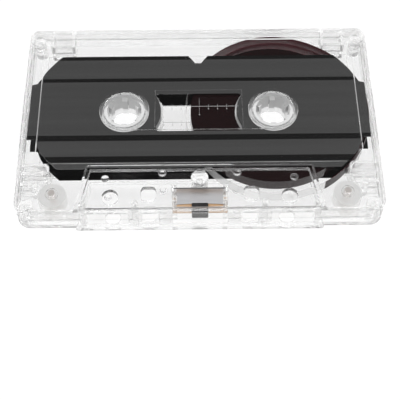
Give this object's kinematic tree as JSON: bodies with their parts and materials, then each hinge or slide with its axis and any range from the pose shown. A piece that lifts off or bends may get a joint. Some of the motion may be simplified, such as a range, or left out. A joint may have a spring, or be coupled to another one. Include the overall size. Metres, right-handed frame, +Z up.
{
  "type": "audio cassette tape",
  "caption": "Clear-shelled compact audio cassette with dark embossed liners, toothed hubs, wound tape, guide rollers, shield, leaf spring and felt pad.",
  "frame": {"origin": "bottom centre of the bounding box, on the underside of the thick front section", "axes": "+X along the long side, +Y from the open front edge to the rear edge, +Z up through the thickness"},
  "size_m": [0.1004, 0.0638, 0.012],
  "materials": {
    "clear_shell": "clear polished polystyrene",
    "liner_sheet": "dark grey graphite-coated sheet, embossed",
    "magnetic_tape": "very dark reddish brown, satin",
    "clear_leader": "clear film",
    "shield_steel": "grey sheet metal",
    "spring_bronze": "bronze strip",
    "pad_felt": "dark felt",
    "hub_plastic": "white plastic",
    "roller_plastic": "pale grey plastic",
    "pin_steel": "steel"
  },
  "bodies": {
    "shell": {"lower_half_shell": "clear_shell", "upper_half_shell": "clear_shell", "lower_liner": "liner_sheet", "upper_liner": "liner_sheet", "loose_tape_turn": "magnetic_tape", "leader_run": "clear_leader", "magnetic_shield": "shield_steel", "pressure_spring": "spring_bronze", "left_roller_pin": "pin_steel", "right_roller_pin": "pin_steel"},
    "right_reel": {"right_hub": "hub_plastic", "right_hub_clamp": "hub_plastic", "tape_pack": "magnetic_tape"},
    "left_reel": {"left_hub": "hub_plastic", "left_hub_clamp": "hub_plastic", "leader_turns": "clear_leader"},
    "left_roller": {"left_guide_roller": "roller_plastic"},
    "right_roller": {"right_guide_roller": "roller_plastic"},
    "pad": {"pressure_pad": "pad_felt"}
  },
  "joints": [
    {"name": "right_reel_spin", "type": "hinge", "parent": "shell", "child": "right_reel", "pos_m": [0.02125, 0.0019, 0.006], "axis": [0, 0, 1], "continuous": true},
    {"name": "left_reel_spin", "type": "hinge", "parent": "shell", "child": "left_reel", "pos_m": [-0.02125, 0.0019, 0.006], "axis": [0, 0, 1], "continuous": true},
    {"name": "left_roller_spin", "type": "hinge", "parent": "shell", "child": "left_roller", "pos_m": [-0.0402, -0.0255, 0.006], "axis": [0, 0, 1], "continuous": true},
    {"name": "right_roller_spin", "type": "hinge", "parent": "shell", "child": "right_roller", "pos_m": [0.0402, -0.0255, 0.006], "axis": [0, 0, 1], "continuous": true},
    {"name": "pad_press", "type": "slide", "parent": "shell", "child": "pad", "axis": [0, 1, 0], "range_m": [0, 0.0008], "stiffness_N_per_m": 200, "springref_m": -0.0004, "deforming": ["pressure_spring"]}
  ],
  "couplings": [
    {"joint": "left_reel_spin", "follows": "right_reel_spin", "ratio": 2.1166},
    {"joint": "left_roller_spin", "follows": "right_reel_spin", "ratio": 6.2105},
    {"joint": "right_roller_spin", "follows": "right_reel_spin", "ratio": 6.2105}
  ]
}
